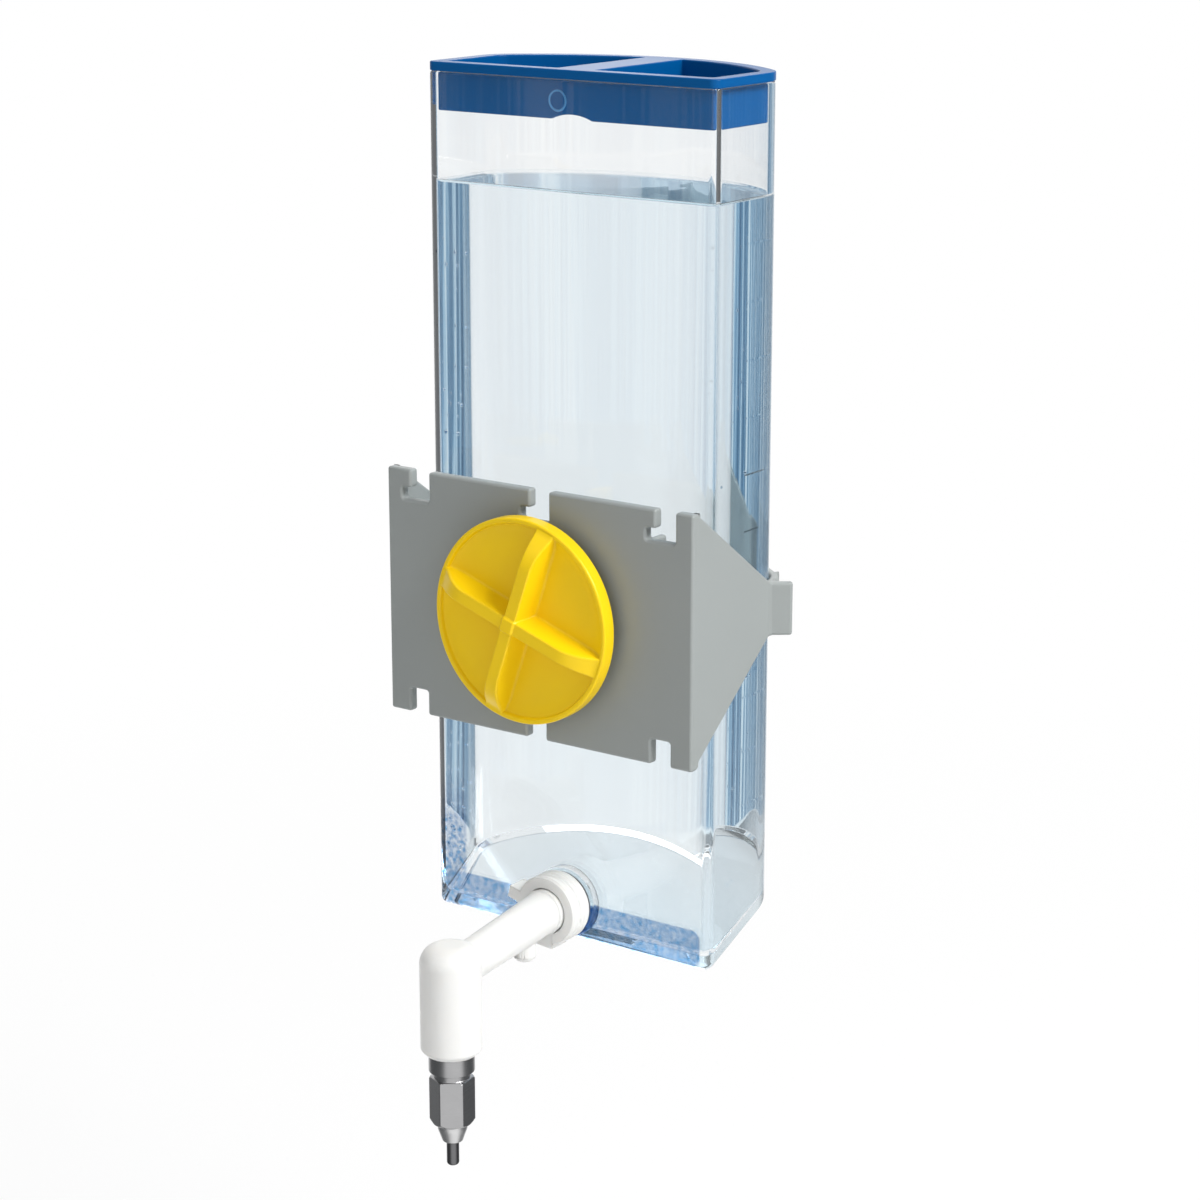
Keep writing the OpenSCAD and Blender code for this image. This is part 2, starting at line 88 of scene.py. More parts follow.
def srgb(red: int, green: int, blue: int) -> Colour:
    """Turns display values from 0 to 255 into the linear colour that shaders take.

    Args:
        red: the red value.
        green: the green value.
        blue: the blue value.

    Returns:
        The linear colour.
    """
    def linear(value: int) -> float:
        """One channel."""
        share = value / 255
        return share / 12.92 if share <= 0.04045 else ((share + 0.055) / 1.055) ** 2.4

    return linear(red), linear(green), linear(blue)


# ---------------------------------------------------------------- shader trees


class Sheet:
    """Adds and joins the nodes of one shader tree."""

    def __init__(self, tree: Tree) -> None:
        """Works on a tree that already exists.

        Args:
            tree: the node tree of a material, a world or a group.
        """
        self.tree = tree

    def add(self, kind: str, feeds: Optional[Dict[Union[str, int], Feed]] = None,
            **settings: object) -> Node:
        """Adds one node.

        Args:
            kind: the node's type, such as ShaderNodeBump.
            feeds: a value or an output socket for each named or numbered input.
            **settings: the node's own properties.

        Returns:
            The new node.
        """
        node = self.tree.nodes.new(kind)
        for name, value in settings.items():
            setattr(node, name, value)
        for name, value in (feeds or {}).items():
            self.feed(node.inputs[name], value)
        return node

    def feed(self, socket: Socket, value: Feed) -> None:
        """Sets a socket to a plain value or links an output to it.

        Args:
            socket: the input to fill.
            value: a number, a colour or an output socket.
        """
        if isinstance(value, Socket):
            self.tree.links.new(value, socket)
        elif isinstance(value, tuple) and socket.type == "RGBA":
            socket.default_value = (*value, 1.0)
        else:
            socket.default_value = value

    def math(self, operation: str, first: Feed, second: Feed = 0.0,
             third: Feed = 0.0) -> Socket:
        """Adds one Math node.

        Args:
            operation: the sum to do, such as ADD.
            first: its first number.
            second: its second number.
            third: its third number.

        Returns:
            The result's socket.
        """
        return self.add("ShaderNodeMath", {0: first, 1: second, 2: third},
                        operation=operation).outputs[0]

    def mix(self, share: Feed, first: Feed, second: Feed) -> Socket:
        """Adds one colour mix.

        Args:
            share: how much of the second colour shows.
            first: the colour at a share of 0.
            second: the colour at a share of 1.

        Returns:
            The mixed colour's socket.
        """
        node = self.add("ShaderNodeMix", {0: share, 6: first, 7: second}, data_type="RGBA")
        return node.outputs[2]

    def noise(self, vector: Feed, scale: Feed, detail: float = 2.0) -> Socket:
        """Adds one noise texture.

        Args:
            vector: where the noise is read.
            scale: how fine it is.
            detail: how many finer layers it has.

        Returns:
            The socket of its value, from 0 to 1.
        """
        return self.add("ShaderNodeTexNoise",
                        {"Vector": vector, "Scale": scale, "Detail": detail}).outputs["Fac"]

    def ramp(self, share: Feed, stops: Sequence[Tuple[float, Colour]]) -> Socket:
        """Adds one colour ramp.

        Args:
            share: where the ramp is read.
            stops: a place and a colour for each stop.

        Returns:
            The colour's socket.
        """
        node = self.add("ShaderNodeValToRGB", {0: share})
        stops_in = node.color_ramp.elements
        while len(stops_in) < len(stops):
            stops_in.new(1.0)
        for stop, (place, colour) in zip(stops_in, stops):
            stop.position = place
            stop.color = (*colour, 1.0)
        return node.outputs["Color"]

    def place(self, kind: str = "Object") -> Socket:
        """Adds a texture coordinate."""
        return self.add("ShaderNodeTexCoord").outputs[kind]

    def split(self, vector: Feed) -> bpy.types.NodeOutputs:
        """Splits a vector into its X, Y and Z."""
        return self.add("ShaderNodeSeparateXYZ", {0: vector}).outputs

    def skin(self, shader: Node, group: Tree, values: Dict[str, Feed], depth: float,
             strength: float) -> Node:
        """Feeds a shader's colour, roughness and bump from a surface group.

        Args:
            shader: the Principled node.
            group: the surface group.
            values: what its inputs are set to.
            depth: how deep its grain is, or 0 for no bump.
            strength: how strongly the grain shows.

        Returns:
            The group's node.
        """
        skin = self.add("ShaderNodeGroup", values, node_tree=group)
        self.feed(shader.inputs["Base Color"], skin.outputs["Color"])
        self.feed(shader.inputs["Roughness"], skin.outputs["Roughness"])
        if depth:
            bump = self.add("ShaderNodeBump", {"Height": skin.outputs["Height"],
                                               "Distance": depth, "Strength": strength})
            self.feed(shader.inputs["Normal"], bump.outputs["Normal"])
        return skin


def blank_sheet(owner: Union[bpy.types.Material, bpy.types.World]) -> Sheet:
    """Gives a material or a world an empty tree.

    Args:
        owner: the material or world.

    Returns:
        The tree's sheet.
    """
    owner.use_nodes = True
    owner.node_tree.nodes.clear()
    return Sheet(owner.node_tree)


def shader_group(name: str, inputs: Dict[str, Feed],
                 outputs: Dict[str, str],
                 ) -> Tuple[Sheet, bpy.types.NodeOutputs, bpy.types.NodeInputs]:
    """Makes an empty shader group.

    Args:
        name: the group's name.
        inputs: each input's name and default, a number, a colour or a vector.
        outputs: each output's name and its socket type, such as NodeSocketFloat.

    Returns:
        The group's sheet, what it is given and what it gives out.
    """
    kinds = {float: "NodeSocketFloat", tuple: "NodeSocketColor", Vector: "NodeSocketVector"}
    tree = bpy.data.node_groups.new(name, "ShaderNodeTree")
    for label, value in inputs.items():
        socket = tree.interface.new_socket(label, in_out="INPUT", socket_type=kinds[type(value)])
        socket.default_value = (*value, 1.0) if isinstance(value, tuple) else value
    for label, kind in outputs.items():
        tree.interface.new_socket(label, in_out="OUTPUT", socket_type=kind)
    sheet = Sheet(tree)
    return sheet, sheet.add("NodeGroupInput").outputs, sheet.add("NodeGroupOutput").inputs


SURFACE_OUTPUTS = {"Color": "NodeSocketColor", "Roughness": "NodeSocketFloat",
                   "Height": "NodeSocketFloat"}


class Effects:
    """The effects that more than one material uses, each a group that is made once."""

    @staticmethod
    @cache
    def moulded_skin() -> Tree:
        """Makes the group for moulded plastic: a slow change of shade and a fine grain.

        Returns:
            The group's tree.
        """
        sheet, given, out = shader_group(
            "moulded_skin",
            {"Color": (0.5, 0.5, 0.5), "Shade Range": 0.04, "Cloud Scale": 30.0,
             "Grain Scale": 1600.0, "Roughness": 0.4, "Roughness Range": 0.08,
             "Upward Scale": 1.0},
            SURFACE_OUTPUTS)
        here = sheet.split(sheet.place())
        lift = sheet.math("MULTIPLY", here["Z"], given["Upward Scale"])
        place = sheet.add("ShaderNodeCombineXYZ",
                          {"X": here["X"], "Y": here["Y"], "Z": lift}).outputs[0]
        cloud = sheet.math("SUBTRACT", sheet.noise(place, given["Cloud Scale"], 3.0), 0.5)
        shade = sheet.math("MULTIPLY_ADD", cloud, given["Shade Range"], 1.0)
        tinted = sheet.add("ShaderNodeHueSaturation",
                           {"Value": shade, "Color": given["Color"]})
        grain = sheet.noise(place, given["Grain Scale"], 2.0)
        rough = sheet.math("MULTIPLY_ADD", cloud, given["Roughness Range"],
                           given["Roughness"])
        sheet.feed(out["Color"], tinted.outputs["Color"])
        sheet.feed(out["Roughness"], rough)
        sheet.feed(out["Height"], grain)
        return sheet.tree

    @staticmethod
    @cache
    def turning_marks() -> Tree:
        """Makes the group for turned steel: fine rings round an upright axis and light stains.

        Returns:
            The group's tree.
        """
        sheet, given, out = shader_group(
            "turning_marks",
            {"Color": (0.6, 0.6, 0.6), "Ring Scale": 9000.0, "Stain": 0.15,
             "Roughness": 0.25, "Roughness Range": 0.2},
            SURFACE_OUTPUTS)
        place = sheet.place()
        here = sheet.split(place)
        along = sheet.math("MULTIPLY", here["Z"], given["Ring Scale"])
        rings_at = sheet.add("ShaderNodeCombineXYZ", {"X": here["X"], "Y": here["Y"], "Z": along})
        rings = sheet.noise(rings_at.outputs[0], 1.0, 3.0)
        stain = sheet.math("SUBTRACT", sheet.noise(place, 260.0, 3.0), 0.5)
        shade = sheet.math("MULTIPLY_ADD", stain, given["Stain"], 1.0)
        tinted = sheet.add("ShaderNodeHueSaturation",
                           {"Value": shade, "Color": given["Color"]})
        centred = sheet.math("SUBTRACT", rings, 0.5)
        rough = sheet.math("MULTIPLY_ADD", centred, given["Roughness Range"],
                           given["Roughness"])
        sheet.feed(out["Color"], tinted.outputs["Color"])
        sheet.feed(out["Roughness"], rough)
        sheet.feed(out["Height"], rings)
        return sheet.tree

    @staticmethod
    @cache
    def painted_refraction_band() -> Tree:
        """Makes the group for a painted refraction: a soft-edged band along the foot of a flat
        front, and a strip up its left side.

        Returns:
            The group's tree.
        """
        sheet, given, out = shader_group(
            "painted_refraction_band",
            {"Front": 0.0, "Foot": 0.0, "Height": 0.0116, "Bottom": 0.0009,
             "Half Width": 0.0418, "Round": 0.0030, "Softness": 0.0004,
             "Strip Width": 0.0078, "Strip Height": 0.040},
            {"Mask": "NodeSocketFloat"})
        here = sheet.place()
        place = sheet.split(here)
        half = sheet.math("MULTIPLY", sheet.math("SUBTRACT", given["Height"],
                                                 given["Bottom"]), 0.5)
        middle = sheet.math("ADD", given["Foot"],
                            sheet.math("ADD", given["Bottom"], half))
        across = sheet.math("SUBTRACT", sheet.math("ABSOLUTE", place["X"]),
                            sheet.math("SUBTRACT", given["Half Width"],
                                       given["Round"]))
        up = sheet.math("SUBTRACT",
                        sheet.math("ABSOLUTE", sheet.math("SUBTRACT", place["Z"], middle)),
                        sheet.math("SUBTRACT", half, given["Round"]))
        corner = sheet.add("ShaderNodeCombineXYZ", {"X": sheet.math("MAXIMUM", across, 0.0),
                                                    "Y": sheet.math("MAXIMUM", up, 0.0)})
        away = sheet.add("ShaderNodeVectorMath", {0: corner.outputs[0]}, operation="LENGTH")
        depth = sheet.math("SUBTRACT", given["Round"], away.outputs["Value"])
        inner = sheet.math("DIVIDE", depth, given["Softness"])
        flat = sheet.math("LESS_THAN", place["Y"], given["Front"])
        held = sheet.add("ShaderNodeClamp", {0: inner})
        # Painted refraction: the band is mottled, and a strip up the left side fades in above it.
        # Both stand in for light turned in the real bottle's floor and walls.
        speckle = sheet.noise(here, 700.0, 4.0)
        mottled = sheet.math("MULTIPLY", held.outputs[0],
                             sheet.math("MULTIPLY_ADD", speckle, 0.9, 0.42))
        edge = sheet.math("SUBTRACT", given["Strip Width"], given["Half Width"])
        left = sheet.add("ShaderNodeMapRange", {0: place["X"], 1: edge,
                                                2: sheet.math("SUBTRACT", edge, 0.0010)})
        top = sheet.math("ADD", given["Foot"], given["Strip Height"])
        fade = sheet.add("ShaderNodeMapRange", {0: place["Z"], 1: top,
                                                2: sheet.math("SUBTRACT", top, 0.016)})
        strip = sheet.math("MULTIPLY", sheet.math("MULTIPLY", left.outputs[0], fade.outputs[0]),
                           sheet.math("MULTIPLY_ADD", speckle, 2.4, -0.45))
        both = sheet.add("ShaderNodeClamp", {0: sheet.math("MAXIMUM", mottled, strip)})
        sheet.feed(out["Mask"], sheet.math("MULTIPLY", both.outputs[0], flat))
        return sheet.tree

    @staticmethod
    @cache
    def studio_walls() -> Tree:
        """Makes the group for the room round the stage: soft streaks read by direction.

        Returns:
            The group's tree.
        """
        sheet, given, out = shader_group(
            "studio_walls", {"Direction": Vector()},
            {"Inside": "NodeSocketColor", "Mirror": "NodeSocketColor"})
        flat = sheet.add("ShaderNodeVectorMath", {0: given["Direction"], 1: (1, 1, 0)},
                         operation="MULTIPLY")
        unit = sheet.add("ShaderNodeVectorMath", {0: flat.outputs[0]}, operation="NORMALIZE")
        streaks = sheet.noise(unit.outputs[0], 34.0, 2.0)
        low = sheet.ramp(streaks, [(0.38, srgb(60, 94, 126)), (0.48, srgb(100, 142, 176)),
                                   (0.56, srgb(168, 202, 225)), (0.63, srgb(236, 247, 252))])
        long = sheet.add("ShaderNodeVectorMath", {0: given["Direction"]},
                         operation="NORMALIZE")
        rise = sheet.split(long.outputs[0])["Z"]
        steep = sheet.add("ShaderNodeMapRange", {0: sheet.math("ABSOLUTE", rise),
                                                 1: 0.24, 2: 0.42}).outputs[0]
        sheet.feed(out["Inside"], sheet.mix(steep, low, srgb(250, 253, 255)))
        level = sheet.split(unit.outputs[0])
        corner = sheet.math("MULTIPLY", level["X"], level["Y"])
        uneven = sheet.math("MULTIPLY_ADD", sheet.noise(unit.outputs[0], 5.0, 2.0), 0.30, -0.15)
        share = sheet.math("SUBTRACT", 0.5, sheet.math("ADD", corner, uneven))
        mirror = sheet.ramp(share, [(0.20, (0.14, 0.145, 0.15)), (0.46, (0.30, 0.305, 0.31)),
                                    (0.60, (0.80, 0.80, 0.80)), (0.72, (1.0, 1.0, 1.0))])
        sheet.feed(out["Mirror"], mirror)
        return sheet.tree


# ---------------------------------------------------------------- finishes


@dataclass(frozen=True)
class Finish:
    """A surface that pieces are dressed in: its material name and the record's slot."""

    name: str
    slot: str

    def material(self) -> bpy.types.Material:
        """Finds the finish's material, or makes it at its first use.

        Returns:
            The material.
        """
        found = bpy.data.materials.get(self.name)
        if found is not None:
            return found
        made = bpy.data.materials.new(self.name)
        sheet = blank_sheet(made)
        shader = sheet.add("ShaderNodeBsdfPrincipled")
        end = sheet.add("ShaderNodeOutputMaterial", {"Surface": shader.outputs[0]})
        self.fill(sheet, shader, end)
        return made

    def fill(self, sheet: Sheet, shader: Node, end: Node) -> None:
        """Sets the shader up; each kind of finish has its own.

        Args:
            sheet: the material's sheet.
            shader: its Principled node.
            end: its output node.
        """
        raise NotImplementedError

    def dress(self, piece: Piece) -> Piece:
        """Gives a piece this finish's material.

        Args:
            piece: a mesh object.

        Returns:
            The same piece.
        """
        if piece.material_slots:
            for place in piece.material_slots:
                place.link = "OBJECT"
                place.material = self.material()
        else:
            piece.data.materials.append(self.material())
        return piece


@dataclass(frozen=True)
class Moulded(Finish):
    """Opaque moulded plastic or rubber with a faint cloudiness and a fine grain."""

    colour: Colour
    roughness: float = 0.35
    shade_range: float = 0.10
    grain_depth: float = 2e-5
    coat: float = 0.0
    specular: float = 0.5
    bleed: float = 0.0

    def fill(self, sheet: Sheet, shader: Node, end: Node) -> None:
        """Feeds the shader from the moulded skin group.

        Args:
            sheet: the material's sheet.
            shader: its Principled node.
            end: its output node; not used here.
        """
        sheet.skin(shader, Effects.moulded_skin(),
                   {"Color": self.colour, "Shade Range": self.shade_range,
                    "Roughness": self.roughness}, self.grain_depth, 0.5)
        shader.inputs["Specular IOR Level"].default_value = self.specular
        shader.inputs["Coat Weight"].default_value = self.coat
        shader.inputs["Coat Roughness"].default_value = 0.12
        if self.bleed:
            shader.inputs["Subsurface Weight"].default_value = self.bleed
            shader.inputs["Subsurface Radius"].default_value = (1.0, 0.9, 0.8)
            shader.inputs["Subsurface Scale"].default_value = 0.002


@dataclass(frozen=True)
class Turned(Finish):
    """Turned and lightly polished steel."""

    colour: Colour
    roughness: float
    ring_scale: float = 9000.0
    mark_depth: float = 6e-6

    def fill(self, sheet: Sheet, shader: Node, end: Node) -> None:
        """Feeds the shader from the turning marks group.

        Args:
            sheet: the material's sheet.
            shader: its Principled node.
            end: its output node; not used here.
        """
        sheet.skin(shader, Effects.turning_marks(),
                   {"Color": self.colour, "Roughness": self.roughness,
                    "Ring Scale": self.ring_scale}, self.mark_depth, 0.6)
        shader.inputs["Metallic"].default_value = 1.0


@dataclass(frozen=True)
class Clear(Finish):
    """Clear plastic or water, which lets light through to what is behind it.

    A ray turned back more than `turns` times, or past `bounces` in all, goes straight on.
    """

    tint: Colour
    ior: float
    roughness: float = 0.01
    wave_depth: float = 0.0
    absorbs: Optional[Colour] = None
    density: float = 0.0
    light_share: float = 0.95
    turns: int = 2
    bounces: int = 8
    # The colour of a painted refraction band on the front, or None.
    band: Optional[Colour] = None

    def painted_foot_refraction(self, sheet: Sheet, skin: Socket) -> Socket:
        """Adds the painted blue band low on the bottle's front: painted refraction, a tint standing
        in for light that the real bottle turns there.

        Args:
            sheet: the material's sheet.
            skin: the colour of the rest of the wall.

        Returns:
            The colour's socket.
        """
        band = sheet.add("ShaderNodeGroup", node_tree=Effects.painted_refraction_band())
        low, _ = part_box("bottle")
        sheet.feed(band.inputs["Front"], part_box("lid")[0].y + 0.001)
        sheet.feed(band.inputs["Foot"], low.z)
        return sheet.mix(band.outputs["Mask"], skin, self.band)

    def fill(self, sheet: Sheet, shader: Node, end: Node) -> None:
        """Sets up a clear shader that steps aside for lamps.

        Args:
            sheet: the material's sheet.
            shader: its Principled node.
            end: its output node.
        """
        skin = sheet.skin(
            shader, Effects.moulded_skin(),
            {"Color": self.tint, "Shade Range": 0.02, "Cloud Scale": 45.0, "Grain Scale": 160.0,
             "Roughness": self.roughness, "Roughness Range": self.roughness,
             "Upward Scale": 0.05}, self.wave_depth, 1.0)
        # Painted refraction: the band colour is mixed into the wall's Base Color.
        if self.band is not None:
            banded = self.painted_foot_refraction(sheet, skin.outputs["Color"])
            sheet.feed(shader.inputs["Base Color"], banded)
        shader.inputs["Transmission Weight"].default_value = 1.0
        shader.inputs["IOR"].default_value = self.ior
        path = sheet.add("ShaderNodeLightPath").outputs
        passing = sheet.math("MAXIMUM", path["Is Shadow Ray"], path["Is Diffuse Ray"])
        turned = sheet.math("GREATER_THAN", path["Glossy Depth"], self.turns + 0.5)
        spent = sheet.math("GREATER_THAN", path["Ray Depth"], self.bounces + 0.5)
        open_for = sheet.math("MAXIMUM", sheet.math("MULTIPLY", passing, self.light_share),
                              sheet.math("MAXIMUM", turned, spent))
        sheet.feed(shader.inputs["Alpha"], sheet.math("SUBTRACT", 1.0, open_for))
        if self.absorbs is not None:
            volume = sheet.add("ShaderNodeVolumeAbsorption",
                               {"Color": self.absorbs, "Density": self.density})
            sheet.feed(end.inputs["Volume"], volume.outputs[0])


class Paint(Enum):
    """The finishes of this object."""

    GREY = Moulded("grey_moulded", "grey_plastic", srgb(147, 152, 151), roughness=0.42,
                   shade_range=0.06, coat=0.05)
    YELLOW = Moulded("yellow_moulded", "yellow_plastic", srgb(241, 203, 10), roughness=0.34,
                     shade_range=0.05, coat=0.06, specular=0.3, grain_depth=1e-5)
    BLUE = Moulded("blue_moulded", "blue_plastic", srgb(0, 80, 140), roughness=0.32,
                   shade_range=0.06, coat=0.04, specular=0.12, grain_depth=1e-5)
    # A paler blue for the skirt's ring mark: a painted highlight, for the light that its raised
    # edge catches.
    PALE_BLUE = Moulded("blue_painted_highlight", "blue_plastic", srgb(70, 142, 200), roughness=0.35)
    WHITE = Moulded("white_moulded", "white_plastic", srgb(226, 226, 224), roughness=0.38,
                    shade_range=0.03, bleed=0.25, grain_depth=1.5e-5)
    NYLON = Moulded("natural_nylon", "natural_nylon", srgb(232, 228, 214), roughness=0.45,
                    shade_range=0.05)
    RUBBER = Moulded("black_rubber", "black_rubber", srgb(38, 40, 42), roughness=0.6,
                     shade_range=0.15, grain_depth=3e-5)
    STEEL = Turned("turned_steel", "stainless_steel", srgb(178, 178, 179), roughness=0.30)
    PALE_STEEL = Turned("pale_steel", "stainless_steel", srgb(222, 222, 222), roughness=0.42)
    DARK_STEEL = Turned("dark_steel", "stainless_steel", srgb(120, 120, 122), roughness=0.34)
    WIRE = Turned("spring_wire", "spring_wire", srgb(180, 180, 180), roughness=0.3,
                  ring_scale=3000.0)
    # The clear wall carries a painted refraction: a blue band low on its front.
    CLEAR = Clear("clear_wall", "clear_plastic", (0.985, 0.99, 0.99), ior=1.49, roughness=0.012,
                  wave_depth=2e-5, band=srgb(54, 112, 172))
    WATER = Clear("water", "clear_plastic", (0.99, 0.995, 1.0), ior=1.333, roughness=0.0,
                  absorbs=(0.56, 0.79, 0.90), density=5.0)

    def dress(self, piece: Piece) -> Piece:
        """Gives a piece this finish."""
        return self.value.dress(piece)


# ---------------------------------------------------------------- mesh tools


def arc(x: float, y: float, radius: float, start: float, end: float, steps: int) -> List[Point2]:
    """Points along an arc.

    Args:
        x: the centre's x.
        y: the centre's y.
        radius: the arc's radius.
        start: its first angle, in radians.
        end: its last angle, in radians.
        steps: how many flats it has.

    Returns:
        steps + 1 points.
    """
    angles = [start + (end - start) * i / steps for i in range(steps + 1)]
    return [(x + radius * math.cos(a), y + radius * math.sin(a)) for a in angles]


def soft_max(first: float, second: float, radius: float) -> float:
    """The greater of two heights, with a fillet where they meet."""
    gap = max(radius - abs(first - second), 0.0)
    return max(first, second) + gap * gap / (4 * radius)


def soft_min(first: float, second: float, radius: float) -> float:
    """The lesser of two heights, with a rounded edge where they meet."""
    return -soft_max(-first, -second, radius)


def linked(name: str, data: bpy.types.ID) -> Piece:
    """Makes an object and links it to the scene.

    Args:
        name: the object's name.
        data: its mesh, lamp or camera.

    Returns:
        The new object.
    """
    made = bpy.data.objects.new(name, data)
    bpy.context.scene.collection.objects.link(made)
    return made


def new_piece(name: str, bm: bmesh.types.BMesh, smooth_below: float = 35.0) -> Piece:
    """Turns a bmesh into a shown object with soft and sharp edges.

    Args:
        name: the piece's name.
        bm: its mesh, which is freed.
        smooth_below: an edge turning less than this, in degrees, is shaded round.

    Returns:
        The new object.
    """
    bmesh.ops.recalc_face_normals(bm, faces=bm.faces)
    for face in bm.faces:
        face.smooth = True
    for edge in bm.edges:
        turned = edge.calc_face_angle(0.0) if len(edge.link_faces) == 2 else math.pi
        edge.smooth = turned < math.radians(smooth_below)
    mesh = bpy.data.meshes.new(name)
    bm.to_mesh(mesh)
    bm.free()
    return linked(name, mesh)


def weighted(piece: Piece) -> Piece:
    """Keeps a piece's large flats flat in shading.

    Args:
        piece: the piece.

    Returns:
        The same piece.
    """
    modifier = piece.modifiers.new("flat_faces", "WEIGHTED_NORMAL")
    modifier.keep_sharp = True
    modifier.weight = 100
    return piece


def loft(name: str, rings: Sequence[Sequence[Point3]]) -> Piece:
    """Joins closed rings of equal length into one closed skin, capped at both ends.

    Args:
        name: the piece's name.
        rings: the rings, in order along the skin.

    Returns:
        The new object.
    """
    bm = bmesh.new()
    rows = [[bm.verts.new(point) for point in ring] for ring in rings]
    count = len(rows[0])
    for low, high in zip(rows, rows[1:]):
        for i in range(count):
            j = (i + 1) % count
            bm.faces.new((low[i], low[j], high[j], high[i]))
    bm.faces.new(rows[0])
    bm.faces.new(rows[-1])
    return weighted(new_piece(name, bm))


def lathe(name: str, profile: Sequence[Point2], centre: Vector, axis: Vector,
          steps: int = 64) -> Piece:
    """Turns a closed profile round an axis.

    Args:
        name: the piece's name.
        profile: (radius, distance along the axis) points of a closed outline.
        centre: the point on the axis that distances count from.
        axis: the axis's direction.
        steps: how many flats go round.

    Returns:
        The new object.
    """
    turn = axis.to_track_quat("Z", "Y").to_matrix()
    bm = bmesh.new()
    rows = []
    for i in range(steps):
        a = 2 * math.pi * i / steps
        rows.append([bm.verts.new(centre + turn @ Vector((r * math.cos(a), r * math.sin(a), h)))
                     for r, h in profile])
    for i in range(steps):
        near, far = rows[i], rows[(i + 1) % steps]
        for j in range(len(profile)):
            k = (j + 1) % len(profile)
            bm.faces.new((near[j], near[k], far[k], far[j]))
    bmesh.ops.remove_doubles(bm, verts=bm.verts, dist=WELD / 10)
    bmesh.ops.dissolve_degenerate(bm, edges=bm.edges, dist=WELD / 10)
    return weighted(new_piece(name, bm))


def quartered(bm: bmesh.types.BMesh, node: str, across: Sequence[float]) -> None:
    """Cuts a mesh by planes, so that no flat face is left with a hole in it.

    Args:
        bm: the mesh.
        node: the CAD node whose box's middle planes are cut.
        across: further values of x to cut at.
    """
    low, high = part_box(node)
    planes = [(axis, (low[axis] + high[axis]) / 2) for axis in range(3)]
    for axis, value in planes + [(0, x) for x in across]:
        normal = Vector([float(axis == i) for i in range(3)])
        cut = bmesh.ops.bisect_plane(bm, geom=bm.verts[:] + bm.edges[:] + bm.faces[:],
                                     dist=WELD, plane_co=normal * value, plane_no=normal)
        for item in cut["geom_cut"]:
            if isinstance(item, bmesh.types.BMEdge):
                item.seam = True


def softened(node: str, name: str, radius: float, segments: int = 3,
             across: Sequence[float] = ()) -> Piece:
    """Builds a smooth piece from a CAD node: whole flat faces and rounded edges.

    Args:
        node: the CAD node that it stands for.
        name: the piece's name.
        radius: the radius of its edges.
        segments: how many flats each rounded edge has.
        across: values of x to cut holed faces at, besides the middle.

    Returns:
        The new object, which replaces the node.
    """
    bm = bmesh.new()
    bm.from_mesh(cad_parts[node].data)
    bmesh.ops.remove_doubles(bm, verts=bm.verts, dist=WELD)
    quartered(bm, node, across)
    bmesh.ops.dissolve_limit(bm, angle_limit=FLATNESS, verts=bm.verts, edges=bm.edges,
                             delimit={"SEAM"})
    for layer in list(bm.loops.layers.float_vector.values()):
        bm.loops.layers.float_vector.remove(layer)
    piece = new_piece(name, bm, CREASE)
    rounding = piece.modifiers.new("rounded_edges", "BEVEL")
    rounding.width = radius
    rounding.segments = segments
    rounding.limit_method = "ANGLE"
    rounding.angle_limit = math.radians(CREASE)
    rounding.use_clamp_overlap = False
    rounding.miter_outer = "MITER_ARC"
    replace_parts(piece, node)
    return weighted(piece)


def report(piece: Piece, body: str) -> Piece:
    """Lets a piece ride on its body and says so.

    Args:
        piece: the finished piece.
        body: the body that carries it.

    Returns:
        The same piece.
    """
    LOG.info("%s rides on %s with %d faces", piece.name, body, len(piece.data.polygons))
    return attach(piece, body)


# ---------------------------------------------------------------- sub-assemblies


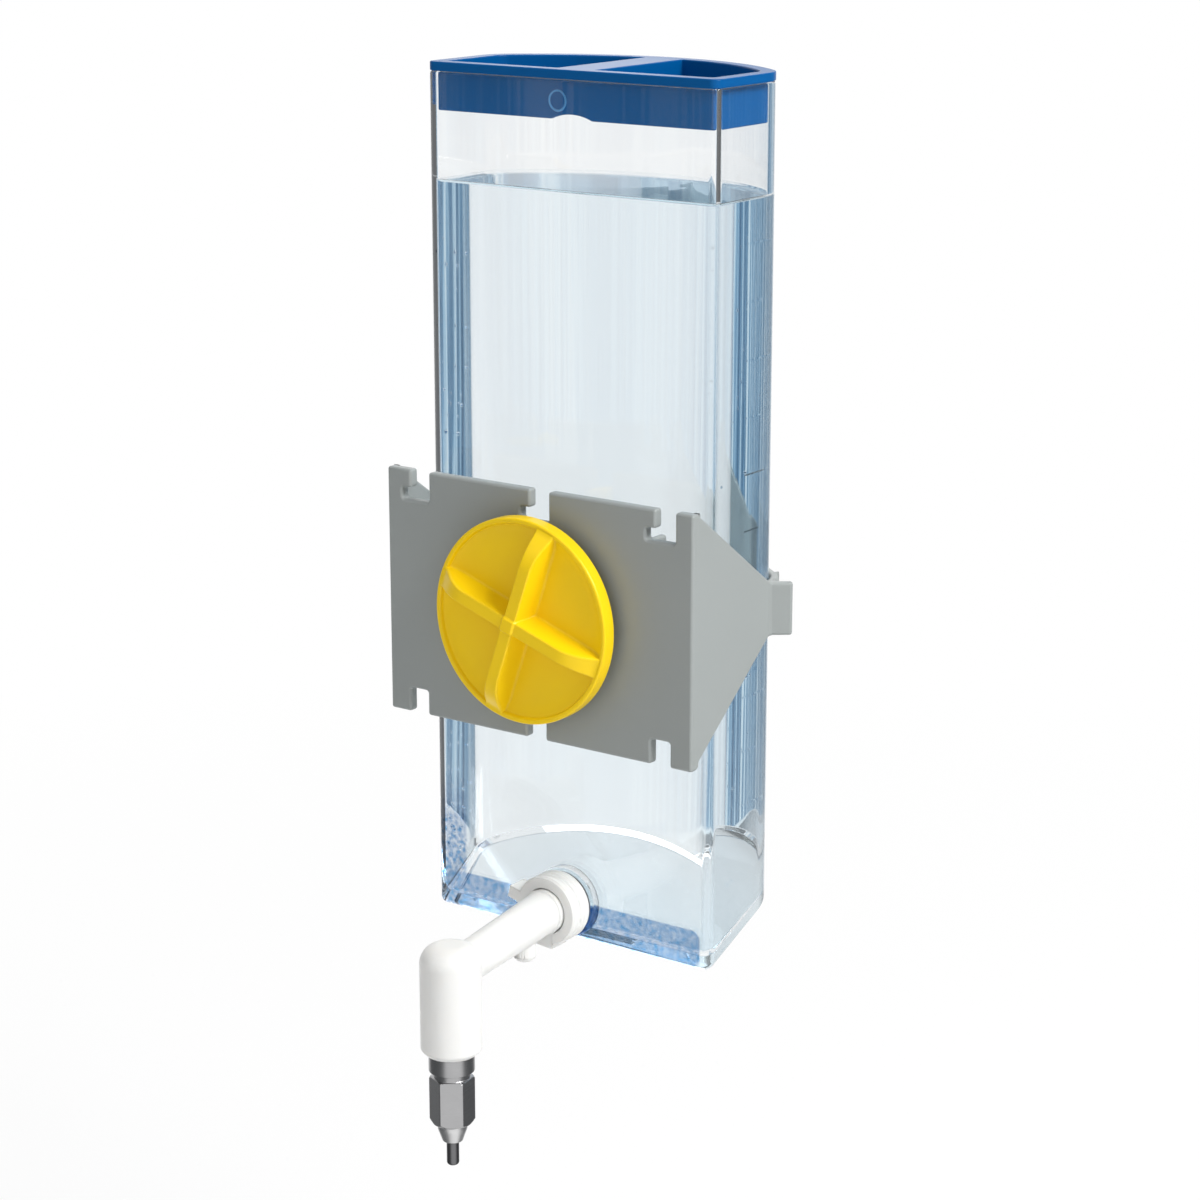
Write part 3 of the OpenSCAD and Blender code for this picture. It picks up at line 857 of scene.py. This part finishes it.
@dataclass
class Bottle:
    """The clear bottle: flat front, straight sides, curved back and a sloping floor."""

    wall: float = 0.002
    floor_wall: float = 0.002
    front_corner: float = 0.0025
    back_corner: float = 0.010
    back_radius: float = 0.062
    floor_slope: float = math.radians(25)
    foot_round: float = 0.0024
    inner_round: float = 0.0035
    fade_length: float = 0.030
    back_share: float = 0.05
    rim_round: float = 0.0006
    outlet_height: float = 0.0112
    boss_radius: float = 0.0096
    boss_height: float = 0.002
    neck_radius: float = 0.0071
    neck_length: float = 0.006
    bore_radius: float = 0.0033
    mark_first: float = -0.050
    mark_pitch: float = 0.0145
    mark_count: int = 11
    mark_lengths: Tuple[float, float] = (0.011, 0.007)
    mark_inset: float = 0.014
    mark_lift: float = 0.00005
    mark_height: float = 0.0004

    def __post_init__(self) -> None:
        """Reads the bottle's place and main sizes from the frame."""
        low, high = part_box("bottle")
        self.floor_level = low.z
        self.mouth_level = high.z
        self.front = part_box("lid")[0].y
        self.half_width = high.x
        self.back_centre = high.y - self.back_radius
        self.corner_x = self.half_width - self.back_corner
        reach = self.back_radius - self.back_corner
        self.corner_y = self.back_centre + math.sqrt(reach ** 2 - self.corner_x ** 2)
        self.corner_turn = math.atan2(self.corner_y - self.back_centre, self.corner_x)

    def plan(self, inset: float) -> List[Point2]:
        """The bottle's outline seen from above.

        Args:
            inset: how far it is moved inwards.

        Returns:
            Its points, anticlockwise from the left front corner.
        """
        front_r = max(self.front_corner, inset + 0.0006)
        x = self.half_width - front_r
        y = self.front + front_r
        back_r = max(self.back_corner - inset, 0.0006)
        quarter = math.pi / 2
        turn = self.corner_turn
        return (arc(-x, y, front_r - inset, 2 * quarter, 3 * quarter, 8)
                + arc(x, y, front_r - inset, 3 * quarter, 4 * quarter, 8)
                + arc(self.corner_x, self.corner_y, back_r, 0, turn, 14)
                + arc(0, self.back_centre, self.back_radius - inset, turn, math.pi - turn, 40)[1:-1]
                + arc(-self.corner_x, self.corner_y, back_r, math.pi - turn, math.pi, 14))

    def level_ring(self, inset: float, height: float) -> List[Point3]:
        """A level ring of the plan at a height."""
        return [(x, y, height) for x, y in self.plan(inset)]

    def rounded_foot(self, inset: float, radius: float, lift: float,
                     steps: int = 6) -> List[List[Point3]]:
        """Rings that turn from the sloping floor up into the wall.

        The floor keeps its thickness everywhere. Only the turn gets tighter towards the back.

        Args:
            inset: the wall's inset.
            radius: the radius of the turn.
            lift: the floor's height above the outer floor.
            steps: how many flats the turn has.

        Returns:
            The rings from the floor to the wall.
        """
        slope = math.tan(self.floor_slope)
        wall_plan, floor_plan = self.plan(inset), self.plan(inset + radius)
        rings = []
        for i in range(steps + 1):
            a = math.pi / 2 * i / steps
            ring = []
            for (x0, y0), (x1, y1) in zip(wall_plan, floor_plan):
                back = min(max((y0 - self.front) / self.fade_length, 0.0), 1.0)
                share = 1.0 - (1.0 - self.back_share) * back
                inward = share * (1 - math.sin(a))
                x, y = x0 + (x1 - x0) * inward, y0 + (y1 - y0) * inward
                ring.append((x, y, self.floor_level + lift + (y - self.front) * slope
                             + radius * share * (1 - math.cos(a))))
            rings.append(ring)
        return rings

    def shell(self) -> Piece:
        """Builds the bottle's wall as one closed skin, out over the rim and down inside.

        Returns:
            The wall.
        """
        r = self.rim_round
        top = self.mouth_level
        rings = self.rounded_foot(0.0, self.foot_round, 0.0)
        rings += [self.level_ring(0.0, top - r), self.level_ring(r * 0.3, top - r * 0.3),
                  self.level_ring(r, top), self.level_ring(self.wall - r, top),
                  self.level_ring(self.wall - r * 0.3, top - r * 0.3),
                  self.level_ring(self.wall, top - r)]
        rings += reversed(self.rounded_foot(self.wall, self.inner_round, self.floor_wall))
        return loft("bottle_wall", rings)

    def outlet(self) -> Piece:
        """Builds the raised boss ring and the neck that the union nut screws on.

        Returns:
            The outlet.
        """
        sink = 0.0003
        edge = 0.0004
        profile = [(self.bore_radius, -sink), (self.boss_radius, -sink),
                   (self.boss_radius, self.boss_height - edge),
                   (self.boss_radius - edge * 0.3, self.boss_height - edge * 0.3),
                   (self.boss_radius - edge, self.boss_height),
                   (self.neck_radius, self.boss_height), (self.neck_radius, self.neck_length),
                   (self.bore_radius, self.neck_length)]
        centre = Vector((0, self.front, self.floor_level + self.outlet_height))
        return lathe("bottle_outlet", profile, centre, Vector((0, -1, 0)))

    def graduations(self) -> Piece:
        """Builds the faint level marks that stand out of the right-hand wall.

        Returns:
            All the marks as one piece.
        """
        bm = bmesh.new()
        x, lift = self.half_width, self.mark_lift
        for i in range(self.mark_count):
            length = self.mark_lengths[i % 2]
            y0, z0 = self.front + self.mark_inset, self.mark_first + i * self.mark_pitch
            y1, z1 = y0 + length, z0 + self.mark_height
            corners = [(y0, z0), (y1, z0), (y1, z1), (y0, z1)]
            base = [bm.verts.new((x - lift, y, z)) for y, z in corners]
            face = [bm.verts.new((x + lift, y, z)) for y, z in corners]
            bm.faces.new(base)
            bm.faces.new(face)
            for j in range(4):
                k = (j + 1) % 4
                bm.faces.new((base[j], base[k], face[k], face[j]))
        return new_piece("bottle_level_marks", bm)

    def build(self) -> None:
        """Builds, dresses and seats the bottle's pieces."""
        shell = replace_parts(self.shell(), "bottle")
        for piece in (shell, self.outlet(), self.graduations()):
            report(Paint.CLEAR.dress(piece), "bottle")


@dataclass
class Water:
    """The water in the bottle, with its raised edge and the bubbles that cling to the walls."""

    bottle: Bottle
    level_below_mouth: float = 0.0283
    overlap: float = 0.00015
    climb: float = 0.0009
    bubbles: int = 70
    seed: int = 7
    bubble_radii: Tuple[float, float] = (0.00022, 0.00055)
    bubble_reach: Tuple[float, float] = (0.004, 0.022)
    bubble_floor: float = 0.012
    bubble_top: float = 0.006

    def surface_rings(self, inset: float) -> List[List[Point3]]:
        """Rings from the wall in to the level surface, which climbs a little at the wall.

        Args:
            inset: the water's inset at the wall.

        Returns:
            The rings from the wall inwards.
        """
        level = self.bottle.mouth_level - self.level_below_mouth
        steps = ((0.0, 1.0), (0.0004, 0.45), (0.001, 0.16), (0.002, 0.03), (0.0032, 0.0))
        return [self.bottle.level_ring(inset + inward, level + self.climb * share)
                for inward, share in steps]

    def body(self) -> Piece:
        """Builds the water as one closed skin, sunk a little into the bottle's wall.

        Returns:
            The water.
        """
        inset = self.bottle.wall - self.overlap
        rings = self.bottle.rounded_foot(inset, self.bottle.inner_round,
                                         self.bottle.floor_wall - self.overlap)
        rings += self.surface_rings(inset)
        return loft("water_body", rings)

    def bubble_places(self) -> List[Tuple[Vector, float]]:
        """Chooses where the bubbles cling: more on the left, and more low down.

        Returns:
            Each bubble's place and radius.
        """
        draw = random.Random(self.seed)
        b = self.bottle
        inner_x = b.half_width - b.wall
        low = b.floor_level + self.bubble_floor
        high = b.mouth_level - self.level_below_mouth - self.bubble_top
        places = []
        for _ in range(self.bubbles):
            radius = draw.uniform(*self.bubble_radii)
            side = draw.choice((-1, -1, 1))
            y = b.front + draw.uniform(*self.bubble_reach)
            x = side * (inner_x - radius * 1.3)
            places.append((Vector((x, y, low + (high - low) * draw.random() ** 1.4)), radius))
        return places

    def bubble_skins(self) -> Piece:
        """Builds the bubbles, whose skins face into the bubble, as the water's edge does.

        Returns:
            All the bubbles as one piece.
        """
        bm = bmesh.new()
        for place, radius in self.bubble_places():
            bmesh.ops.create_icosphere(bm, subdivisions=2, radius=radius,
                                       matrix=Matrix.Translation(place))
        piece = new_piece("water_bubbles", bm)
        piece.data.flip_normals()
        return piece

    def build(self) -> None:
        """Builds, dresses and seats the water."""
        for piece in (self.body(), self.bubble_skins()):
            report(Paint.WATER.dress(piece), "bottle")


@dataclass
class Lid:
    """The blue press-in lid and the small round mark on its skirt."""

    edge: float = 0.00035
    mark_radius: float = 0.0025
    mark_wire: float = 0.0003
    mark_x: float = -0.004
    mark_below_rim: float = 0.0078
    skirt_inset: float = 0.00242
    pocket_x: float = 0.024

    def mark(self) -> Piece:
        """Builds the plain ring that stands on the front of the skirt.

        Returns:
            The ring.
        """
        low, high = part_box("lid")
        centre = Vector((self.mark_x, low.y + self.skirt_inset, high.z - self.mark_below_rim))
        ring = [(self.mark_radius + self.mark_wire * math.cos(a), self.mark_wire * math.sin(a))
                for a in (2 * math.pi * i / 10 for i in range(10))]
        return lathe("lid_mark", ring, centre, Vector((0, -1, 0)), steps=40)

    def build(self) -> None:
        """Builds, dresses and seats the lid's pieces."""
        cap = softened("lid", "lid_cap", self.edge, across=(-self.pocket_x, self.pocket_x))
        report(Paint.BLUE.dress(cap), "lid")
        # The ring mark wears the paler blue, a painted highlight.
        report(Paint.PALE_BLUE.dress(self.mark()), "lid")


@dataclass
class Holder:
    """The grey wire-cage holder that the bottle snaps into."""

    edge: float = 0.0007
    rib_x: float = 0.030

    def build(self) -> None:
        """Builds, dresses and seats the holder."""
        piece = softened("bracket", "holder", self.edge, across=(-self.rib_x, self.rib_x))
        report(Paint.GREY.dress(piece), "bracket")


@dataclass
class ClampKnob:
    """The yellow screw knob and the ring that it presses on the wires."""

    face_height: float = 0.0042
    rim_width: float = 0.0014
    dish_depth: float = 0.0016
    rim_round: float = 0.0006
    rib_turn: float = math.radians(-19)
    rib_base: float = 0.0030
    rib_top: float = 0.0017
    rib_rise: float = 0.0050
    rib_slope: float = 0.0100
    fillet: float = 0.0022
    dish_round: float = 0.0042
    rim_step: float = 0.0002
    crown: float = 0.0009
    ring_recess: float = 0.0009
    ring_radius: float = 0.0133
    screw_radius: float = 0.0060
    thread_pitch: float = 0.0030
    thread_depth: float = 0.0007

    def __post_init__(self) -> None:
        """Reads the knob's place and radius from the frame."""
        low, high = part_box("knob")
        self.radius = high.x
        self.back = low.y + self.rib_rise + self.face_height
        self.screw_end = high.y
        self.floor_height = self.face_height - self.dish_depth

    def rib_height(self, along: float, across: float) -> float:
        """The height of one rib above the knob's back, rounded at its crown.

        Args:
            along: distance from the middle along the rib.
            across: distance from the rib's middle line.

        Returns:
            The height, which may lie below the dished face.
        """
        end = self.radius - self.rim_width
        near = min(max((end - abs(along)) / self.rib_slope, 0.0), 1.0)
        top = self.face_height - self.rim_step + near * (2 - near) * self.rib_rise
        rise = self.face_height + self.rib_rise - self.floor_height
        flank = (self.rib_base - abs(across)) / (self.rib_base - self.rib_top)
        return soft_min(top, self.floor_height + rise * flank, self.crown)

    def face_at(self, along: float, across: float) -> float:
        """The height of the face with both ribs and their soft fillets.

        Args:
            along: distance from the middle along the first rib.
            across: distance from the middle along the second rib.

        Returns:
            The height above the knob's back.
        """
        ribs = soft_max(self.rib_height(along, across), self.rib_height(across, along), self.fillet)
        inside = self.radius - self.rim_width - math.hypot(along, across)
        climb = min(max(1.0 - inside / self.dish_round, 0.0), 1.0)
        rise = self.dish_depth - self.rim_step - self.fillet / 4
        return soft_max(ribs, self.floor_height + rise * climb ** 2, self.fillet)

    def face(self) -> Piece:
        """Builds the dished face with its crossed ribs as one skin, cut round by the rim.

        The grid is finest at the flanks of the ribs.

        Returns:
            The face, an open skin that reaches under the lip of the disc.
        """
        flank = [0.0, 0.0007, 0.0011, 0.0014, 0.0016, 0.0018, 0.0020, 0.0022, 0.0024, 0.0026,
                 0.0028, 0.0030, 0.0032, 0.0035, 0.0039, 0.0044, 0.0050, 0.0058]
        reach = self.radius - self.rim_width + 0.0005
        count = 26
        outer = [flank[-1] + (reach - flank[-1]) * (i + 1) / count for i in range(count)]
        half = flank + outer
        line = [-v for v in reversed(half[1:])] + half
        turn = Matrix.Rotation(self.rib_turn, 2)
        bm = bmesh.new()
        grid = []
        for u in line:
            row = []
            for v in line:
                far = math.hypot(u, v)
                pull = min(1.0, reach / far) if far else 1.0
                place = turn @ Vector((u * pull, v * pull))
                height = self.face_at(u * pull, v * pull)
                row.append(bm.verts.new((place.x, self.back - height, place.y)))
            grid.append(row)
        for near, far_row in zip(grid, grid[1:]):
            for j in range(len(line) - 1):
                bm.faces.new((near[j], near[j + 1], far_row[j + 1], far_row[j]))
        bmesh.ops.remove_doubles(bm, verts=bm.verts, dist=WELD)
        bmesh.ops.dissolve_degenerate(bm, edges=bm.edges, dist=WELD)
        return new_piece("knob_face", bm, 180.0)

    def screw_profile(self) -> List[Point2]:
        """The screw's outline from the knob's back to its end, its distance counted backwards.

        Returns:
            Its (radius, distance) points.
        """
        core = self.screw_radius - self.thread_depth
        length = self.screw_end - self.back
        points = [(self.screw_radius, 0.0)]
        at = self.thread_pitch
        while at + self.thread_pitch < length:
            points += [(self.screw_radius, -at), (core, -at - 0.25 * self.thread_pitch),
                       (core, -at - 0.5 * self.thread_pitch),
                       (self.screw_radius, -at - 0.75 * self.thread_pitch)]
            at += self.thread_pitch
        return points + [(self.screw_radius, -length + 0.0006), (core, -length), (0.0, -length)]

    def disc(self) -> Piece:
        """Builds the knob's rim, back and screw as one turned piece.

        Returns:
            The disc.
        """
        r, h, soft = self.radius, self.face_height, self.rim_round
        inner = r - self.rim_width
        profile = [(0.0, self.floor_height - 0.0003), (inner - 0.0009, self.floor_height - 0.0003),
                   (inner - 0.0006, self.floor_height + 0.0002), (inner - 0.0001, h - 0.0004)]
        profile += arc(inner + 0.0004, h - 0.0005, 0.0005, math.radians(160), math.pi / 2, 4)
        profile += arc(r - soft, h - soft, soft, math.pi / 2, 0, 5)
        profile += arc(r - soft, soft, soft, 0, -math.pi / 2, 5)
        profile += [(self.ring_radius, 0.0), (self.ring_radius, self.ring_recess),
                    (self.screw_radius, self.ring_recess)]
        profile += self.screw_profile()
        return lathe("knob_disc", profile, Vector((0, self.back, 0)), Vector((0, -1, 0)), steps=160)

    def build(self) -> None:
        """Builds, dresses and seats the knob."""
        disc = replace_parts(self.disc(), "knob")
        for piece in (disc, self.face()):
            report(Paint.YELLOW.dress(piece), "knob")
        Paint.NYLON.dress(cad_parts["pressure_ring"])


@dataclass
class Spout:
    """The white spout with its union nut and seals."""

    elbow_edge: float = 0.0004
    nut_edge: float = 0.00015

    def build(self) -> None:
        """Builds, dresses and seats the spout's pieces."""
        nut = softened("union_nut", "union_ring", self.nut_edge, segments=2)
        elbow = softened("spout_elbow", "spout_arm", self.elbow_edge)
        for piece, body in ((nut, "union_nut"), (elbow, "spout")):
            report(Paint.WHITE.dress(piece), body)
        for node in ("boss_ring_seal", "outlet_gasket", "collar_washer"):
            Paint.RUBBER.dress(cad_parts[node])


@dataclass
class Nipple:
    """The stainless nipple and the valve inside it."""

    edge: float = 0.00018

    def build(self) -> None:
        """Builds, dresses and seats the nipple's pieces."""
        for node, paint, body in (("nipple_collar", Paint.STEEL, "spout"),
                                  ("nipple_body", Paint.STEEL, "spout"),
                                  ("tip_bush", Paint.PALE_STEEL, "spout"),
                                  ("trigger_pin", Paint.DARK_STEEL, "trigger_pin")):
            piece = softened(node, node + "_turned", self.edge, segments=2)
            report(paint.dress(piece), body)
        for node, paint in (("valve_seat", Paint.RUBBER), ("valve_plunger", Paint.NYLON),
                            ("valve_spring", Paint.WIRE)):
            paint.dress(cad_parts[node])


# ---------------------------------------------------------------- studio


@dataclass(frozen=True)
class Lamp:
    """One soft lamp, placed round the object as a camera would be."""

    name: str
    azimuth: float
    elevation: float
    distance: float
    size: float
    power: float

    def build(self, target: Vector) -> None:
        """Makes the lamp.

        Args:
            target: the point that it shines on.
        """
        data = bpy.data.lights.new(self.name, "AREA")
        data.shape = "DISK"
        data.size = self.size
        data.energy = self.power
        lamp = linked(self.name, data)
        out = outward(self.azimuth, self.elevation)
        lamp.location = target + out * self.distance
        lamp.rotation_euler = out.to_track_quat("Z", "Y").to_euler()
        lamp.visible_camera = False
        lamp.visible_transmission = False


def outward(azimuth: float, elevation: float) -> Vector:
    """The direction from the object to a viewer, both angles in degrees."""
    a, e = math.radians(azimuth), math.radians(elevation)
    return Vector((math.sin(a) * math.cos(e), -math.cos(a) * math.cos(e), math.sin(e)))


@dataclass
class Studio:
    """Camera, lamps, floor and the white room."""

    azimuth: float = 35.743
    elevation: float = 14.993
    distance: float = 0.76338
    pan: float = 0.01634
    lift: float = 0.00405
    lens: float = 90.247
    sensor: float = 36.0
    clip: Tuple[float, float] = (0.05, 60.0)
    floor_drop: float = 0.10
    floor_radius: float = 14.0
    room_light: float = 0.55
    floor_glow: float = 0.86
    floor_shade: float = 0.86
    shadow_reach: float = 0.32
    lamps: Tuple[Lamp, ...] = field(default=(
        Lamp("key_lamp", 88, 40, 1.3, 0.6, 17.0),
        Lamp("fill_lamp", -5, 38, 1.5, 1.0, 1.4),
        Lamp("back_lamp", 200, 45, 1.5, 0.9, 4.0),
        Lamp("rim_lamp", 216, 17, 1.5, 0.2, 0.22),
    ))

    def camera(self) -> None:
        """Makes the camera, aimed near the middle of the holder plate's face."""
        data = bpy.data.cameras.new("camera")
        data.lens = self.lens
        data.sensor_width = self.sensor
        data.clip_start, data.clip_end = self.clip
        camera = linked("camera", data)
        bpy.context.scene.camera = camera
        back = outward(self.azimuth, self.elevation)
        turn = back.to_track_quat("Z", "Y")
        camera.rotation_euler = turn.to_euler()
        side, up = turn @ Vector((1, 0, 0)), turn @ Vector((0, 1, 0))
        camera.location = back * self.distance + side * self.pan + up * self.lift

    @staticmethod
    def sight(sheet: Sheet, direction: Socket) -> Tuple[Socket, Socket, Socket, Socket]:
        """Adds what a ray sees of the floor or the room: white, but for the room's soft streaks.

        Args:
            sheet: the tree of the floor or of the world.
            direction: which way the ray looks.

        Returns:
            The colour, whether the ray sees (and doesn't only light), whether it has been turned
            back inside something clear, and whether it comes from a mirror.
        """
        path = sheet.add("ShaderNodeLightPath").outputs
        glossy, refracted = path["Is Glossy Ray"], path["Is Transmission Ray"]
        seen = sheet.math("MAXIMUM", path["Is Camera Ray"],
                          sheet.math("MAXIMUM", glossy, refracted))
        turned = sheet.math("GREATER_THAN", path["Glossy Depth"], 0.5)
        inside = sheet.math("MULTIPLY", turned, refracted)
        mirrored = sheet.math("MULTIPLY", glossy, sheet.math("SUBTRACT", 1.0, refracted))
        walls = sheet.add("ShaderNodeGroup", {"Direction": direction},
                          node_tree=Effects.studio_walls())
        plain = sheet.mix(mirrored, (1.0, 1.0, 1.0), walls.outputs["Mirror"])
        return sheet.mix(inside, plain, walls.outputs["Inside"]), seen, inside, mirrored

    def world(self) -> None:
        """Makes the room: white to look at, softer as a light."""
        world = bpy.data.worlds.new("room")
        bpy.context.scene.world = world
        sheet = blank_sheet(world)
        shown, seen, _, _ = self.sight(sheet, sheet.place("Generated"))
        light = (self.room_light,) * 3
        sky = sheet.add("ShaderNodeBackground", {"Color": sheet.mix(seen, light, shown)})
        sheet.add("ShaderNodeOutputWorld", {"Surface": sky.outputs[0]})

    def floor(self, level: float) -> None:
        """Makes the pale floor.

        Args:
            level: its height.
        """
        bm = bmesh.new()
        bmesh.ops.create_circle(bm, cap_ends=True, segments=96, radius=self.floor_radius,
                                matrix=Matrix.Translation((0, 0, level)))
        piece = new_piece("floor", bm)
        material = bpy.data.materials.new("pale_floor")
        sheet = blank_sheet(material)
        place = sheet.place()
        shown, seen, inside, mirrored = self.sight(sheet, place)
        glow = sheet.add("ShaderNodeEmission", {"Color": shown})
        board = sheet.add("ShaderNodeBsdfDiffuse", {"Color": (self.floor_shade,) * 3})
        hidden = sheet.math("MAXIMUM", inside, mirrored)
        away = sheet.add("ShaderNodeVectorMath", {0: place}, operation="LENGTH").outputs["Value"]
        glow_share = sheet.add("ShaderNodeMapRange", {0: away, 1: self.shadow_reach,
                                                      2: self.shadow_reach * 2.5,
                                                      3: self.floor_glow, 4: 1.0}).outputs[0]
        share = sheet.math("MAXIMUM", sheet.math("MULTIPLY", seen, glow_share), hidden)
        both = sheet.add("ShaderNodeMixShader",
                         {0: share, 1: board.outputs[0], 2: glow.outputs[0]})
        sheet.add("ShaderNodeOutputMaterial", {"Surface": both.outputs[0]})
        piece.data.materials.append(material)
        piece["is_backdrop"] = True

    def build(self) -> None:
        """Makes the floor, the lamps and the room."""
        low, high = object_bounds()
        self.floor(low.z - self.floor_drop)
        for lamp in self.lamps:
            lamp.build((low + high) / 2)
        self.world()
        bpy.context.scene.view_settings.view_transform = "Standard"


def main() -> None:
    """Builds every sub-assembly in order."""
    logging.basicConfig(level=logging.INFO, format="%(name)s: %(message)s")
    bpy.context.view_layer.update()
    studio = Studio()
    studio.camera()
    bottle = Bottle()
    for part in (bottle, Water(bottle), Lid(), Holder(), ClampKnob(), Spout(), Nipple(), studio):
        part.build()


if __name__ == "__main__":
    main()
